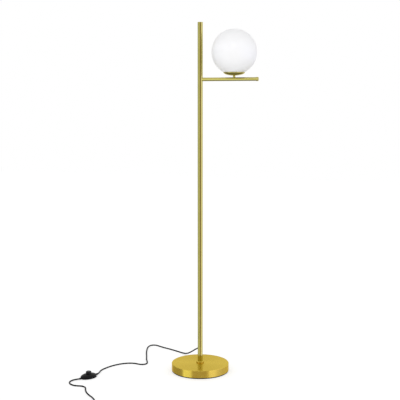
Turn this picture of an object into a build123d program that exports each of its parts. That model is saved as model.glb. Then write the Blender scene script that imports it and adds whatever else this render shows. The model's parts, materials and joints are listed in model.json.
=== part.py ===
from build123d import *

import os
from math import cos, hypot, pi, radians, sin, sqrt, tan

# Floor lamp with a round weighted base, a tubular pole, one short arm near the
# top and an opal glass globe standing on a dish above the arm.
# Millimetres. +Z is up, the arm points along +X, and the origin is the centre
# of the base's underside on the floor.

# Gaps between pieces
thread_gap = 0.05
running_gap = 0.08
slip_gap = 0.15
hole_gap = 0.25
seat_gap = 0.30
seam_edge = 0.3

# Base
base_dia = 250.0
pad_t = 5.0
pad_inset = 0.5
cover_wall = 1.0
cover_edge_r = 3.0
weight_t = 31.0
weight_web_t = 16.0
weight_hub_r = 30.0
weight_rim_w = 18.0
weight_edge = 2.6
nut_recess_r = 19.0
nut_recess_depth = 14.0
stud_dia = 10.0
stud_tail = 1.5
base_nut_flats = 17.0
base_nut_t = 8.0
washer_dia = 26.0
washer_t = 2.0

# Pole, in three sections joined by hollow couplers
pole_dia = 22.0
pole_wall = 1.2
lower_len = 490.0
middle_len = 490.0
upper_len = 489.0
foot_bush_len = 16.0
bush_len = 14.0
coupler_dia = 14.0
coupler_bore = 9.0
coupler_len = 26.0
pole_cap_t = 2.0
pole_cap_plug = 8.0
pole_cap_edge = 0.5
collar_dia = 34.0
collar_t = 7.0
collar_edge_r = 2.5

# Arm
arm_z = 1269.0
arm_dia = 15.0
arm_wall = 1.2
arm_reach = 256.0
arm_cap_dia = 16.8
arm_cap_len = 9.0
arm_cap_face_t = 2.0
arm_cap_edge_r = 1.2
stem_x = 151.0
block_len = 20.0
block_lead_bore = 6.0
lead_hole_dia = 10.0

# Stem, dish and gallery
nipple_dia = 8.0
nipple_bore = 5.2
sleeve_dia = 10.5
sleeve_h = 7.0
dish_rim_dia = 91.0
dish_depth = 14.0
dish_wall = 1.2
dish_curve_below = 0.3
thin_nut_flats = 13.0
thin_nut_t = 4.0
gallery_dia = 62.0
gallery_wall = 1.2
gallery_h = 10.3

# Globe
globe_dia = 190.0
globe_wall = 3.0
globe_rim_gap = 0.35
globe_collar_wall = 1.9
globe_collar_h = 10.0
globe_collar_lift = 2.3
gasket_width = 4.0
gasket_dia = 77.0

# Lampholder
holder_dia = 40.0
holder_wall = 2.4
holder_floor_t = 3.0
holder_base_h = 14.0
holder_boss_dia = 16.0
holder_boss_h = 8.0
ledge_w = 2.1
core_rise = 9.0
core_h = 8.0
core_hole_dia = 6.0
shell_wall = 0.5
shell_h = 23.0
skirt_h = 32.0
skirt_lip_t = 2.0
skirt_ring_t = 2.0
contact_dia = 4.0
contact_h = 3.0

# Bulb
bulb_cap_dia = 26.5
bulb_cap_h = 26.0
bulb_cap_wall = 1.0
bulb_tip_dia = 9.0
bulb_tip_h = 2.0
bulb_cone_h = 3.0
bulb_dia = 60.0
bulb_len = 105.0
bulb_neck_dia = 26.0
bulb_wall = 1.0

# Lead inside the pole and arm
lead_dia = 4.0
lead_foot_r = 4.0
lead_top_r = 6.0
lead_stem_r = 3.5

# Cord outlet in the pole wall
cord_dia = 6.0
exit_rise = 60.0
exit_angle = 125.0
exit_depth = 9.0
boot_neck_dia = 9.2
boot_flange_dia = 13.6
boot_flange_t = 2.0
boot_root_dia = 10.5
boot_tip_dia = 8.0
boot_bend_r = 44.0
boot_bend_at = 22.2

# Foot switch on the cord
switch_at = (-414.0, -260.0)
switch_turn = 65.0
switch_len = 77.0
switch_width = 54.0
switch_dome_h = 20.0
switch_split_h = 7.0
switch_wall = 2.0
switch_floor_edge_r = 2.0
switch_pad_dia = 8.0
switch_pad_t = 1.0
switch_pad_x = 22.0
switch_pad_y = 13.0
button_dia = 24.0
button_top_h = 29.5
button_guide_h = 14.0
button_guide_wall = 1.6
button_wall = 2.0
button_edge_r = 2.0
button_flange_w = 2.0
button_flange_t = 2.0
spring_post_dia = 14.0
spring_post_h = 4.0
spring_pin_dia = 6.5
spring_pin_h = 5.0
spring_dia = 10.0
spring_wire = 1.0
spring_turns = 4.0
boss_dia = 7.0
boss_x = 25.0
boss_y = 9.0
screw_dia = 2.8
screw_head_dia = 5.0
screw_head_t = 1.6
screw_len = 9.0
terminal_len = 9.0
terminal_width = 5.0
terminal_h = 4.0
terminal_x = 17.0
terminal_y = 14.0
terminal_hole_dia = 2.4
nub_reach = 48.5
nub_root_dia = 9.2
nub_tip_dia = 7.6
nub_neck_dia = 7.2
nub_neck_len = 5.0
nub_h = 6.0
nub_grooves = 3
nub_groove_w = 1.2
nub_groove_pitch = 2.6
nub_groove_depth = 0.5
nub_groove_inset = 2.2

# Plug
plug_width = 35.3
plug_t = 13.7
plug_waist_width = 22.0
plug_waist_t = 11.0
plug_relief_len = 22.0
plug_relief_dia = 8.0
plug_grip_len = 22.0
plug_face_len = 14.0
plug_edge_r = 3.0
pin_dia = 4.0
pin_len = 19.0
pin_root = 8.0
pin_spacing = 18.6

# Cord: its lie on the floor, and the coil of its unseen length
coil_centre = (-242.0, -598.0)
coil_mean_r = 33.0
coil_exit_angle = -80.0
coil_turns_wide = 2
coil_turns_high = 2
coil_edge_r = 2.4
tail_len = 45.0
tangent_share = 0.45

lamp_to_switch = [
    (-18.6, 26.6, 92.8),
    (-34, 48, 82),
    (-57, 85, 65.5),
    (-86, 124, 43),
    (-112, 160, 25),
    (-134, 187, 11),
    (-161, 212, 3.3),
    (-202, 234, 3),
    (-250, 256.5, 3),
    (-296, 274, 3),
    (-334, 297, 3),
    (-360, 285, 3),
    (-357, 243, 3),
    (-341, 197, 3),
    (-323, 152, 3),
    (-302, 106, 3),
    (-284, 62, 3),
    (-265, 28, 3),
    (-254, -2, 3),
    (-275, -21, 3),
    (-316, -9, 3),
    (-356, -29, 3),
    (-385, -69, 3),
    (-401, -115, 3),
    (-407, -158, 3.3),
    (-397, -191, 4.4),
    (-393.5, -216, 6),
]
switch_to_coil = [
    (-434.5, -304, 6),
    (-447, -310, 4.4),
    (-459, -321, 3),
    (-461, -347, 3),
    (-443, -373, 3),
    (-414, -384, 3),
    (-386, -376, 3),
    (-364, -386, 3),
    (-352, -410, 3),
    (-334, -440, 3),
    (-308, -467, 3),
    (-279, -490, 3),
    (-252, -522, 3),
    (-230, -552, 3),
    (-214.4, -574.9, 3),
]

# Heights and radii that follow from the sizes above
base_top = pad_t + weight_t + cover_wall
lower_top = base_top + lower_len
middle_top = lower_top + middle_len
upper_top = middle_top + upper_len
pole_r = pole_dia / 2
pole_bore_r = pole_r - pole_wall
arm_r = arm_dia / 2
arm_bore_r = arm_r - arm_wall
dish_floor = arm_z + arm_r + sleeve_h
dish_rim = dish_floor + dish_depth
dish_r = dish_rim_dia / 2
dish_seat = dish_floor + dish_wall
gallery_floor = dish_seat + thin_nut_t
gallery_seat = gallery_floor + gallery_wall
gallery_r = gallery_dia / 2
holder_foot = gallery_seat + thin_nut_t
globe_r = globe_dia / 2
globe_z = dish_rim + globe_rim_gap + sqrt(globe_r**2 - (dish_r - dish_wall) ** 2)
globe_collar_r = gallery_r + running_gap
globe_mouth_r = globe_collar_r + globe_collar_wall + slip_gap
core_foot = holder_foot + core_rise
core_top = core_foot + core_h
bulb_foot = core_top + contact_h + seat_gap
bulb_cap_top = bulb_foot + bulb_cap_h
exit_z = base_top + exit_rise


def disc(radius, low, high):
    return Pos(0, 0, low) * Cylinder(radius, high - low, align=(Align.CENTER, Align.CENTER, Align.MIN))


def ring(outer, inner, low, high):
    return disc(outer, low, high) - disc(inner, low, high)


def rod_x(radius, near, far, height):
    along_x = Location((near, 0, height), (0, 90, 0))
    return along_x * Cylinder(radius, far - near, align=(Align.CENTER, Align.CENTER, Align.MIN))


def hex_nut(flats, bore_r, low, high):
    blank = Pos(0, 0, low) * extrude(RegularPolygon(flats / 2, 6, major_radius=False), high - low)
    return blank - disc(bore_r, low, high)


def edge_circle(solid, radius, height):
    """The circular edge of a turned solid with this radius at this height."""
    return [
        edge
        for edge in solid.edges().filter_by(GeomType.CIRCLE)
        if abs(edge.radius - radius) < 0.01 and abs(edge.center().Z - height) < 0.01
    ]


# Base


def base_pad():
    pad = disc(base_dia / 2 - pad_inset, 0, pad_t)
    return chamfer(edge_circle(pad, base_dia / 2 - pad_inset, 0), pad_inset)


def base_weight():
    outer = base_dia / 2 - cover_wall - seat_gap
    top = pad_t + weight_t
    weight = disc(outer, pad_t, top)
    weight = chamfer(edge_circle(weight, outer, top), weight_edge)
    weight -= disc(nut_recess_r, pad_t, pad_t + nut_recess_depth)
    weight -= disc(stud_dia / 2 + hole_gap, pad_t, top)
    return weight - ring(outer - weight_rim_w, weight_hub_r, pad_t + weight_web_t, top)


def base_cover():
    outer = disc(base_dia / 2, pad_t, base_top)
    outer = fillet(edge_circle(outer, base_dia / 2, base_top), cover_edge_r)
    inner_r = base_dia / 2 - cover_wall
    inner = disc(inner_r, pad_t, base_top - cover_wall)
    inner = fillet(edge_circle(inner, inner_r, base_top - cover_wall), cover_edge_r - cover_wall)
    return outer - inner - disc(stud_dia / 2 + hole_gap, pad_t, base_top)


def base_washer():
    seat = pad_t + nut_recess_depth
    return ring(washer_dia / 2, stud_dia / 2 + slip_gap, seat - washer_t, seat)


def base_nut():
    seat = pad_t + nut_recess_depth - washer_t
    return hex_nut(base_nut_flats, stud_dia / 2 + thread_gap, seat - base_nut_t, seat)


def base_stud():
    foot = pad_t + nut_recess_depth - washer_t - base_nut_t - stud_tail
    return disc(stud_dia / 2, foot, base_top + foot_bush_len - stud_tail)


# Pole


def pole_tube(low, high):
    tube = ring(pole_r, pole_bore_r, low, high)
    ends = edge_circle(tube, pole_r, low) + edge_circle(tube, pole_r, high)
    return chamfer(ends, seam_edge)


def bush(bore_r, low, high):
    """Threaded bush brazed into a tube's end, so it is one piece with the tube."""
    return ring(pole_bore_r + pole_wall / 2, bore_r, low, high)


def pole_collar():
    collar = ring(collar_dia / 2, pole_r + slip_gap, base_top, base_top + collar_t)
    return fillet(edge_circle(collar, collar_dia / 2, base_top + collar_t), collar_edge_r)


def pole_lower():
    section = pole_tube(base_top, lower_top)
    section += bush(stud_dia / 2 + thread_gap, base_top, base_top + foot_bush_len)
    section += bush(coupler_dia / 2 + thread_gap, lower_top - bush_len, lower_top)
    outlet = Location((0, 0, exit_z), (0, 0, exit_angle)) * rod_x(boot_neck_dia / 2 + slip_gap, 0, pole_dia, 0)
    return section - outlet


def pole_middle():
    section = pole_tube(lower_top, middle_top)
    section += bush(coupler_dia / 2 + thread_gap, lower_top, lower_top + bush_len)
    return section + bush(coupler_dia / 2 + thread_gap, middle_top - bush_len, middle_top)


def pole_upper():
    section = pole_tube(middle_top, upper_top)
    section += bush(coupler_dia / 2 + thread_gap, middle_top, middle_top + bush_len)
    return section - rod_x(lead_hole_dia / 2, 0, pole_dia, arm_z)


def pole_coupler(seam):
    return ring(coupler_dia / 2, coupler_bore / 2, seam - coupler_len / 2, seam + coupler_len / 2)


def pole_cap():
    top = upper_top + pole_cap_t
    cap = disc(pole_r, upper_top, top) + disc(pole_bore_r - slip_gap, upper_top - pole_cap_plug, upper_top)
    return chamfer(edge_circle(cap, pole_r, top), pole_cap_edge)


# Arm


def arm_tube():
    end = arm_reach - arm_cap_face_t
    tube = rod_x(arm_r, 0, end, arm_z) - rod_x(arm_bore_r, 0, end, arm_z)
    tube -= disc(pole_r + thread_gap, arm_z - arm_dia, arm_z + arm_dia)
    return tube - Pos(stem_x, 0, 0) * disc(nipple_dia / 2 + hole_gap, arm_z, arm_z + arm_dia)


def arm_end_cap():
    cap = rod_x(arm_cap_dia / 2, arm_reach - arm_cap_len, arm_reach, arm_z)
    cap = fillet(cap.edges().group_by(Axis.X)[-1], arm_cap_edge_r)
    return cap - rod_x(arm_r + thread_gap, arm_reach - arm_cap_len, arm_reach - arm_cap_face_t, arm_z)


def arm_thread_block():
    """Drilled block brazed inside the arm: the stem's nipple screws into it."""
    near = stem_x - block_len / 2
    block = rod_x(arm_bore_r - thread_gap, near, near + block_len, arm_z)
    block -= Pos(stem_x, 0, 0) * disc(nipple_dia / 2 + thread_gap, arm_z - lead_dia, arm_z + arm_r)
    return block - rod_x(block_lead_bore / 2, near, stem_x, arm_z)


# Stem, dish and gallery, all on the stem's axis


def on_stem(piece):
    return Pos(stem_x, 0, 0) * piece


def stem_nipple():
    top = holder_foot + holder_boss_h - stud_tail
    return on_stem(ring(nipple_dia / 2, nipple_bore / 2, arm_z + lead_stem_r, top))


def stem_sleeve():
    sleeve = on_stem(ring(sleeve_dia / 2, nipple_dia / 2 + slip_gap, arm_z, dish_floor))
    return sleeve - rod_x(arm_r + thread_gap, stem_x - sleeve_dia, stem_x + sleeve_dia, arm_z)


def dish_bowl(radius, depth, floor):
    """Lower half of a flattened sphere that hangs from the rim, cut flat at the floor."""
    bowl = Pos(0, 0, dish_rim) * scale(Sphere(radius), (1, 1, depth / radius))
    return bowl & disc(radius + dish_wall, floor, dish_rim)


def dish_inside(gap):
    radius = dish_r - dish_wall - gap
    depth = dish_depth + dish_curve_below - dish_wall - gap
    return dish_bowl(radius, depth, dish_seat + gap)


def dish():
    bowl = dish_bowl(dish_r, dish_depth + dish_curve_below, dish_floor) - dish_inside(0)
    return on_stem(bowl - disc(nipple_dia / 2 + hole_gap, dish_floor, dish_rim))


def dish_nut():
    return on_stem(hex_nut(thin_nut_flats, nipple_dia / 2 + thread_gap, dish_seat, gallery_floor))


def gallery():
    """Dish-shaped threaded ring that the globe's collar screws on to."""
    cup = disc(gallery_r, gallery_floor, gallery_floor + gallery_h)
    cup -= disc(gallery_r - gallery_wall, gallery_seat, gallery_floor + gallery_h)
    return on_stem(cup - disc(nipple_dia / 2 + hole_gap, gallery_floor, gallery_seat))


def gallery_nut():
    return on_stem(hex_nut(thin_nut_flats, nipple_dia / 2 + thread_gap, gallery_seat, holder_foot))


# Globe


def globe_gasket():
    band = ring((gasket_dia + gasket_width) / 2, (gasket_dia - gasket_width) / 2, dish_floor, dish_rim)
    band &= dish_inside(thread_gap)
    return on_stem(band - Pos(0, 0, globe_z) * Sphere(globe_r + seat_gap))


def globe_collar():
    foot = gallery_floor + globe_collar_lift
    return on_stem(ring(globe_collar_r + globe_collar_wall, globe_collar_r, foot, foot + globe_collar_h))


def globe_glass():
    ball = Pos(0, 0, globe_z) * (Sphere(globe_r) - Sphere(globe_r - globe_wall))
    return on_stem(ball - disc(globe_mouth_r, dish_floor, globe_z))


# Lampholder


def lampholder_base():
    inner_r = holder_dia / 2 - holder_wall
    base = disc(holder_dia / 2, holder_foot, holder_foot + holder_base_h)
    base = fillet(edge_circle(base, holder_dia / 2, holder_foot), holder_wall)
    base -= disc(inner_r, holder_foot + holder_floor_t, holder_foot + holder_base_h)
    base += ring(inner_r + thread_gap, inner_r - ledge_w, holder_foot + holder_floor_t, core_foot)
    base += disc(holder_boss_dia / 2, holder_foot, holder_foot + holder_boss_h)
    return on_stem(base - disc(nipple_dia / 2 + thread_gap, holder_foot, holder_foot + holder_boss_h))


def lampholder_core():
    return on_stem(disc(holder_dia / 2 - holder_wall - slip_gap, core_foot, core_top))


def lampholder_shell():
    outer = bulb_cap_dia / 2 + running_gap + shell_wall
    shell = ring(outer, outer - shell_wall, core_top, core_top + shell_h)
    return on_stem(shell + ring(outer, core_hole_dia, core_top, core_top + shell_wall))


def lampholder_contact():
    contact = disc(contact_dia / 2, core_top, core_top + contact_h)
    return on_stem(chamfer(edge_circle(contact, contact_dia / 2, core_top + contact_h), shell_wall))


def lampholder_skirt():
    foot = holder_foot + holder_base_h
    top = foot + skirt_h
    bore_r = holder_dia / 2 - holder_wall
    shell_r = bulb_cap_dia / 2 + running_gap + shell_wall + slip_gap
    skirt = disc(holder_dia / 2, foot, top)
    skirt = chamfer(edge_circle(skirt, holder_dia / 2, top), skirt_lip_t / 2)
    skirt -= disc(bore_r, foot, top - skirt_lip_t)
    skirt += ring(bore_r + thread_gap, shell_r, core_top + slip_gap, core_top + slip_gap + skirt_ring_t)
    return on_stem(skirt - disc(shell_r, foot, top))


# Bulb


def bulb_cap():
    """Stamped screw cap, hollow above its cone and open to the bulb's neck."""
    cap = disc(bulb_tip_dia / 2, bulb_foot, bulb_foot + bulb_tip_h)
    cone_foot = bulb_foot + bulb_tip_h
    cone_top = cone_foot + bulb_cone_h
    cone = Cone(bulb_tip_dia / 2, bulb_cap_dia / 2, bulb_cone_h, align=(Align.CENTER, Align.CENTER, Align.MIN))
    cap += Pos(0, 0, cone_foot) * cone
    cap += disc(bulb_cap_dia / 2, cone_top, bulb_cap_top)
    return on_stem(cap - disc(bulb_cap_dia / 2 - bulb_cap_wall, cone_top, bulb_cap_top))


def bulb_form(neck_r, ball_r):
    """Solid of a bulb: a neck that runs tangent into a ball."""
    ball_z = bulb_foot + bulb_len - bulb_dia / 2
    rise = ball_z - bulb_cap_top
    reach = hypot(neck_r, rise)
    tangent = sqrt(reach**2 - ball_r**2)
    # The tangent point, found from the two right angles at the ball's centre
    along = tangent / reach
    across = ball_r / reach
    touch_r = neck_r + tangent * (across * rise - along * neck_r) / reach
    touch_z = bulb_cap_top + tangent * (along * rise + across * neck_r) / reach
    outline = Polyline((0, ball_z + ball_r), (0, bulb_cap_top), (neck_r, bulb_cap_top), (touch_r, touch_z))
    outline += ThreePointArc(
        (touch_r, touch_z),
        (ball_r * cos(radians(30)), ball_z + ball_r * sin(radians(30))),
        (0, ball_z + ball_r),
    )
    return revolve(Plane.XZ * make_face(outline), Axis.Z)


def bulb_glass():
    outer = bulb_form(bulb_neck_dia / 2, bulb_dia / 2)
    return on_stem(outer - bulb_form(bulb_neck_dia / 2 - bulb_wall, bulb_dia / 2 - bulb_wall))


# Lead and cord


def round_path(points, radii):
    """Straight runs joined by tangent arcs, one radius for each inner point."""
    return FilletPolyline(*points, radius=radii)


def tube_along(path, dia):
    start = path @ 0
    return sweep(Plane(origin=start, z_dir=path % 0) * Circle(dia / 2), path=path)


def inner_lead():
    """Two-core lead from the outlet up the pole, along the arm and up the stem."""
    inward = exit_depth - thread_gap
    outlet = (inward * cos(radians(exit_angle)), inward * sin(radians(exit_angle)), exit_z)
    corners = [outlet, (0, 0, exit_z), (0, 0, arm_z), (stem_x, 0, arm_z), (stem_x, 0, core_foot)]
    return tube_along(round_path(corners, [lead_foot_r, lead_top_r, lead_stem_r]), lead_dia)


def cord_boot():
    """Tapered strain relief that curves down out of the pole's wall."""
    outlet = Location((0, 0, exit_z), (0, 0, exit_angle))
    tip = Vector(*lamp_to_switch[0])
    reach = hypot(tip.X, tip.Y)
    corners = [(exit_depth, 0, 0), (boot_bend_at, 0, 0), (reach, 0, tip.Z - exit_z)]
    path = round_path(corners, [boot_bend_r])
    root = Plane(origin=path @ 0, z_dir=path % 0) * Circle(boot_root_dia / 2)
    end = Plane(origin=path @ 1, z_dir=path % 1) * Circle(boot_tip_dia / 2)
    boot = sweep([root, end], path=path, multisection=True)
    boot += rod_x(boot_flange_dia / 2, exit_depth, pole_r + boot_flange_t, 0)
    boot -= Pos(0, 0, -pole_dia) * disc(pole_r + thread_gap, 0, 2 * pole_dia)
    return outlet * (boot + rod_x(boot_neck_dia / 2, exit_depth, boot_bend_at / 2 + pole_wall, 0))


def corner_radii(points):
    """As large an arc at each corner as its two runs allow."""
    radii = []
    for before, at, after in zip(points, points[1:], points[2:]):
        arriving = Vector(*at) - Vector(*before)
        leaving = Vector(*after) - Vector(*at)
        shorter = min(arriving.length, leaving.length)
        radii.append(tangent_share * shorter / tan(radians(arriving.get_angle(leaving) / 2)))
    return radii


def cord_tube(name, points):
    radii = corner_radii(points)
    path = round_path(points, radii)
    tube = tube_along(path, cord_dia)
    expected = pi * (cord_dia / 2) ** 2 * path.length
    print(name, "length", round(path.length), "volume ratio", round(tube.volume / expected, 4))
    print(name, "radii", [round(radius) for radius in radii])
    return tube


def coil_exit():
    """Centre of the cord where the coil's last turn leaves it, and its heading."""
    angle = radians(coil_exit_angle)
    outer_r = coil_mean_r + cord_dia * (coil_turns_wide - 1) / 2
    height = cord_dia * (coil_turns_high - 0.5)
    start = Vector(coil_centre[0] + outer_r * cos(angle), coil_centre[1] + outer_r * sin(angle), height)
    return start, Vector(sin(angle), -cos(angle), 0)


def cord_coil():
    """Outer shape of the coil in which the unseen length is wound."""
    half_width = coil_turns_wide * cord_dia / 2
    height = coil_turns_high * cord_dia
    coil = ring(coil_mean_r + half_width, coil_mean_r - half_width, 0, height)
    coil = fillet(coil.edges().filter_by(GeomType.CIRCLE), coil_edge_r)
    return Pos(coil_centre[0], coil_centre[1], 0) * coil


def tail_end():
    start, heading = coil_exit()
    drop = Vector(0, 0, plug_t / 2 - start.Z)
    return start + heading * tail_len + drop


def cord_tail():
    start = coil_exit()[0]
    path = Line(start, tail_end())
    return tube_along(path, cord_dia)


# Plug, made along +X from the cord's end and then laid down


def place_plug(piece):
    end = tail_end()
    return Location((end.X, end.Y, end.Z), (0, 0, coil_exit_angle - 90)) * piece


def plug_section(at, width, thickness, corner):
    return Plane(origin=(at, 0, 0), x_dir=(0, 1, 0), z_dir=(1, 0, 0)) * RectangleRounded(width, thickness, corner)


def plug_body():
    face = plug_relief_len + plug_grip_len + plug_face_len
    relief = Location((0, 0, 0), (0, 90, 0)) * Cone(
        plug_relief_dia / 2, plug_waist_t / 2, plug_relief_len, align=(Align.CENTER, Align.CENTER, Align.MIN)
    )
    waist = plug_section(plug_relief_len, plug_waist_width, plug_waist_t, plug_edge_r)
    shoulder = plug_section(plug_relief_len + plug_grip_len, plug_width, plug_t, plug_edge_r)
    body = relief + loft([waist, shoulder])
    body += extrude(shoulder, plug_face_len)
    for side in (-1, 1):
        body -= Pos(0, side * pin_spacing / 2, 0) * rod_x(pin_dia / 2 + thread_gap, face - pin_root, face, 0)
    return place_plug(body)


def plug_pins():
    face = plug_relief_len + plug_grip_len + plug_face_len
    pin = rod_x(pin_dia / 2, face - pin_root, face + pin_len, 0)
    pin = fillet(pin.edges().group_by(Axis.X)[-1], pin_dia / 4)
    pins = [Pos(0, side * pin_spacing / 2, 0) * pin for side in (-1, 1)]
    return Compound([place_plug(one) for one in pins])


# Foot switch, made about its own centre with its length along X


def place_switch(piece):
    return Location((switch_at[0], switch_at[1], 0), (0, 0, switch_turn)) * piece


def at_corners(piece, reach_x, reach_y):
    return [Pos(x, y, 0) * piece for x in (-reach_x, reach_x) for y in (-reach_y, reach_y)]


def oval(inset, low, high):
    outline = Ellipse(switch_len / 2 - inset, switch_width / 2 - inset)
    return Pos(0, 0, low) * extrude(outline, high - low)


def switch_dome(inset):
    """Upper half of a flattened ball on the oval outline."""
    length = switch_len / 2 - inset
    width = switch_width / 2 - inset
    height = switch_dome_h - switch_split_h - inset
    ball = Pos(0, 0, switch_split_h) * scale(Sphere(length), (1, width / length, height / length))
    return ball & disc(switch_len, switch_split_h, switch_dome_h + switch_wall)


def nub_holes():
    """The hole in each end wall, half in the lower shell and half in the upper."""
    near = switch_len / 2 - switch_wall - nub_neck_len
    hole = rod_x(nub_neck_dia / 2 + slip_gap, near, nub_reach, nub_h)
    return [hole, Rot(0, 0, 180) * hole]


def switch_upper():
    upper = switch_dome(0) - switch_dome(switch_wall)
    inner_form = switch_dome(switch_wall / 2)
    for post in at_corners(disc(boss_dia / 2, switch_split_h, switch_dome_h), boss_x, boss_y):
        upper += post & inner_form
    guide_r = button_dia / 2 + hole_gap
    upper += disc(guide_r + button_guide_wall, button_guide_h, switch_dome_h) & inner_form
    pilot = disc(screw_dia / 2 + thread_gap, switch_split_h, switch_pad_t + screw_head_t + screw_len)
    for hole in at_corners(pilot, boss_x, boss_y) + nub_holes():
        upper -= hole
    return place_switch(upper - disc(guide_r, switch_split_h, switch_dome_h))


def switch_lower():
    floor_top = switch_pad_t + switch_wall
    lower = oval(0, switch_pad_t, switch_split_h)
    lower = fillet(lower.edges().group_by(Axis.Z)[0], switch_floor_edge_r)
    lower -= oval(switch_wall, floor_top, switch_split_h)
    lower += disc(spring_post_dia / 2, floor_top, floor_top + spring_post_h)
    lower += disc(spring_pin_dia / 2, floor_top, floor_top + spring_post_h + spring_pin_h)
    for post in at_corners(disc(boss_dia / 2, floor_top - slip_gap, switch_split_h), boss_x, boss_y):
        lower += post
    for hole in at_corners(disc(screw_dia / 2 + slip_gap, switch_pad_t, switch_split_h), boss_x, boss_y):
        lower -= hole
    head_hole = disc(screw_head_dia / 2 + slip_gap, switch_pad_t, switch_pad_t + screw_head_t)
    for hole in at_corners(head_hole, boss_x, boss_y) + nub_holes():
        lower -= hole
    return place_switch(lower)


def switch_pads():
    pad = disc(switch_pad_dia / 2, 0, switch_pad_t)
    centre_pads = [Pos(x, y, 0) * pad for x, y in ((switch_pad_x, 0), (-switch_pad_x, 0))]
    side_pads = [Pos(x, y, 0) * pad for x, y in ((0, switch_pad_y), (0, -switch_pad_y))]
    return Compound([place_switch(one) for one in centre_pads + side_pads])


def switch_screws():
    head_top = switch_pad_t + screw_head_t
    screw = disc(screw_head_dia / 2, switch_pad_t, head_top)
    screw += disc(screw_dia / 2, head_top, head_top + screw_len - slip_gap)
    return Compound([place_switch(one) for one in at_corners(screw, boss_x, boss_y)])


def switch_button():
    flange_top = button_guide_h - seat_gap
    foot = flange_top - button_flange_t
    button = disc(button_dia / 2, foot, button_top_h)
    button = fillet(edge_circle(button, button_dia / 2, button_top_h), button_edge_r)
    button += disc(button_dia / 2 + button_flange_w, foot, flange_top)
    return place_switch(button - disc(button_dia / 2 - button_wall, foot, button_top_h - button_wall))


def switch_spring():
    low = switch_pad_t + switch_wall + spring_post_h + spring_wire / 2
    high = button_top_h - button_wall - spring_wire / 2
    rise = high - low
    path = Helix(pitch=rise / spring_turns, height=rise, radius=spring_dia / 2)
    wire = sweep(Plane(origin=path @ 0, z_dir=path % 0) * Circle(spring_wire / 2), path=path)
    return place_switch(Pos(0, 0, low) * wire)


def switch_terminals():
    floor_top = switch_pad_t + switch_wall
    block = Box(
        terminal_len, terminal_width, terminal_h, align=(Align.CENTER, Align.CENTER, Align.MIN)
    )
    block = Pos(0, 0, floor_top) * block
    block -= rod_x(terminal_hole_dia / 2, -terminal_len, terminal_len, floor_top + terminal_h / 2)
    places = [(-terminal_x / 2, terminal_y), (terminal_x / 2, -terminal_y)]
    return Compound([place_switch(Pos(x, y, 0) * block) for x, y in places])


def switch_nub(side):
    """Tapered cord grip at one end of the foot switch."""
    wall_x = switch_len / 2 - switch_wall
    cone = Cone(nub_root_dia / 2, nub_tip_dia / 2, nub_reach - wall_x, align=(Align.CENTER, Align.CENTER, Align.MIN))
    grip = Location((wall_x, 0, nub_h), (0, 90, 0)) * cone
    grip -= oval(-thread_gap, 0, switch_split_h) + switch_dome(-thread_gap)
    grip += rod_x(nub_neck_dia / 2, wall_x - nub_neck_len, switch_len / 2 + switch_wall, nub_h)
    for groove in range(nub_grooves):
        near = nub_reach - nub_groove_inset - groove * nub_groove_pitch
        taper = (nub_root_dia - nub_tip_dia) * (nub_reach - near) / (nub_reach - wall_x)
        floor_r = (nub_tip_dia + taper) / 2 - nub_groove_depth
        band = rod_x(nub_root_dia, near, near + nub_groove_w, nub_h)
        grip -= band - rod_x(floor_r, near, near + nub_groove_w, nub_h)
    turn = 0 if side > 0 else 180
    return place_switch(Rot(0, 0, turn) * grip)


os.makedirs("parts", exist_ok=True)

parts = {
    "base_pad": base_pad(),
    "base_weight": base_weight(),
    "base_cover": base_cover(),
    "base_washer": base_washer(),
    "base_nut": base_nut(),
    "base_stud": base_stud(),
    "pole_collar": pole_collar(),
    "pole_lower": pole_lower(),
    "pole_middle": pole_middle(),
    "pole_upper": pole_upper(),
    "pole_coupler_lower": pole_coupler(lower_top),
    "pole_coupler_upper": pole_coupler(middle_top),
    "pole_cap": pole_cap(),
    "arm_tube": arm_tube(),
    "arm_end_cap": arm_end_cap(),
    "arm_thread_block": arm_thread_block(),
    "stem_nipple": stem_nipple(),
    "stem_sleeve": stem_sleeve(),
    "dish": dish(),
    "dish_nut": dish_nut(),
    "gallery": gallery(),
    "gallery_nut": gallery_nut(),
    "globe_gasket": globe_gasket(),
    "globe_collar": globe_collar(),
    "globe_glass": globe_glass(),
    "lampholder_base": lampholder_base(),
    "lampholder_core": lampholder_core(),
    "lampholder_shell": lampholder_shell(),
    "lampholder_contact": lampholder_contact(),
    "lampholder_skirt": lampholder_skirt(),
    "bulb_cap": bulb_cap(),
    "bulb_glass": bulb_glass(),
    "inner_lead": inner_lead(),
    "cord_boot": cord_boot(),
    "cord_lamp_side": cord_tube("cord_lamp_side", lamp_to_switch),
    "cord_plug_side": cord_tube("cord_plug_side", switch_to_coil),
    "cord_coil": cord_coil(),
    "cord_tail": cord_tail(),
    "plug_body": plug_body(),
    "plug_pins": plug_pins(),
    "switch_upper": switch_upper(),
    "switch_lower": switch_lower(),
    "switch_pads": switch_pads(),
    "switch_screws": switch_screws(),
    "switch_button": switch_button(),
    "switch_spring": switch_spring(),
    "switch_terminals": switch_terminals(),
    "switch_nub_lamp": switch_nub(1),
    "switch_nub_plug": switch_nub(-1),
}

for name, solid in parts.items():
    export_step(solid, f"parts/{name}.step")
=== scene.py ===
import json
from math import acos, cos, hypot, pi, radians, sin, sqrt, tan

import bmesh
import bpy
from mathutils import Matrix, Vector


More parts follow.
